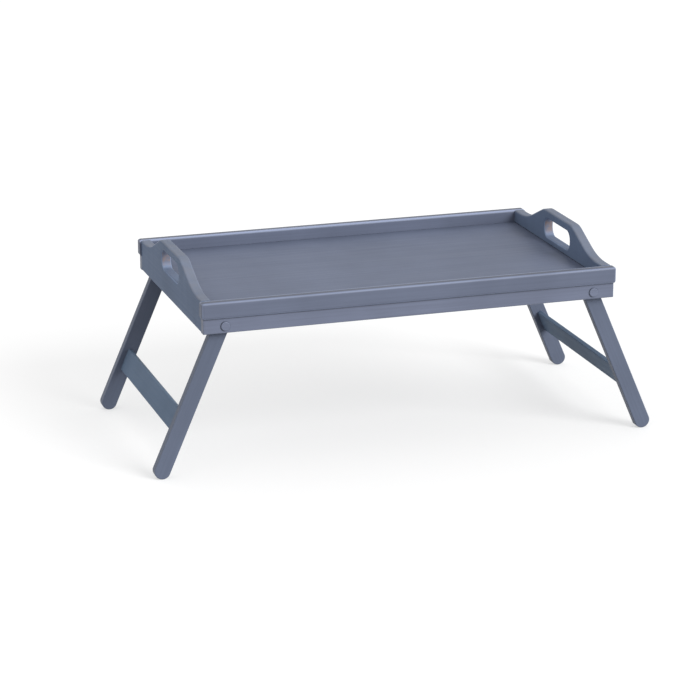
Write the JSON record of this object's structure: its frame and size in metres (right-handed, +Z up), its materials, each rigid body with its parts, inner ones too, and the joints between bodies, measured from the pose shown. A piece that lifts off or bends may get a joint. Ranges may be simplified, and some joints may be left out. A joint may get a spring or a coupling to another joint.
{
  "type": "bed tray table",
  "caption": "Rectangular wooden bed tray table with raised handle ends and folding leg frames that swing in under the tray.",
  "frame": {"origin": "on the floor under the middle of the tray, with the legs open", "axes": "+X along the tray's long side, +Y across it from front to back, +Z up"},
  "size_m": [0.605, 0.3, 0.23],
  "materials": {
    "rail_paint": "satin painted",
    "end_paint": "satin painted",
    "panel_paint": "satin painted",
    "leg_paint": "satin painted",
    "plug_paint": "satin painted",
    "dowel_wood": "bare",
    "pin_steel": "zinc plated",
    "washer_nylon": "matte"
  },
  "bodies": {
    "tray": {"front_rail": "rail_paint", "front_apron": "rail_paint", "back_rail": "rail_paint", "back_apron": "rail_paint", "left_end_board": "end_paint", "right_end_board": "end_paint", "tray_panel": "panel_paint", "front_left_corner_dowels": "dowel_wood", "front_left_pivot_pin": "pin_steel", "front_left_pivot_plug": "plug_paint", "front_left_pivot_washer": "washer_nylon", "back_left_corner_dowels": "dowel_wood", "back_left_pivot_pin": "pin_steel", "back_left_pivot_plug": "plug_paint", "back_left_pivot_washer": "washer_nylon", "front_right_corner_dowels": "dowel_wood", "front_right_pivot_pin": "pin_steel", "front_right_pivot_plug": "plug_paint", "front_right_pivot_washer": "washer_nylon", "back_right_corner_dowels": "dowel_wood", "back_right_pivot_pin": "pin_steel", "back_right_pivot_plug": "plug_paint", "back_right_pivot_washer": "washer_nylon"},
    "left_leg_frame": {"front_left_leg": "leg_paint", "back_left_leg": "leg_paint", "left_crossbar": "leg_paint"},
    "right_leg_frame": {"front_right_leg": "leg_paint", "back_right_leg": "leg_paint", "right_crossbar": "leg_paint"}
  },
  "joints": [
    {"name": "left_leg_fold", "type": "hinge", "parent": "tray", "child": "left_leg_frame", "pos_m": [-0.22088, 0, 0.17646], "axis": [0, -1, 0], "range_deg": [0, 113.38]},
    {"name": "right_leg_fold", "type": "hinge", "parent": "tray", "child": "right_leg_frame", "pos_m": [0.22088, 0, 0.17646], "axis": [0, 1, 0], "range_deg": [0, 113.38]}
  ]
}
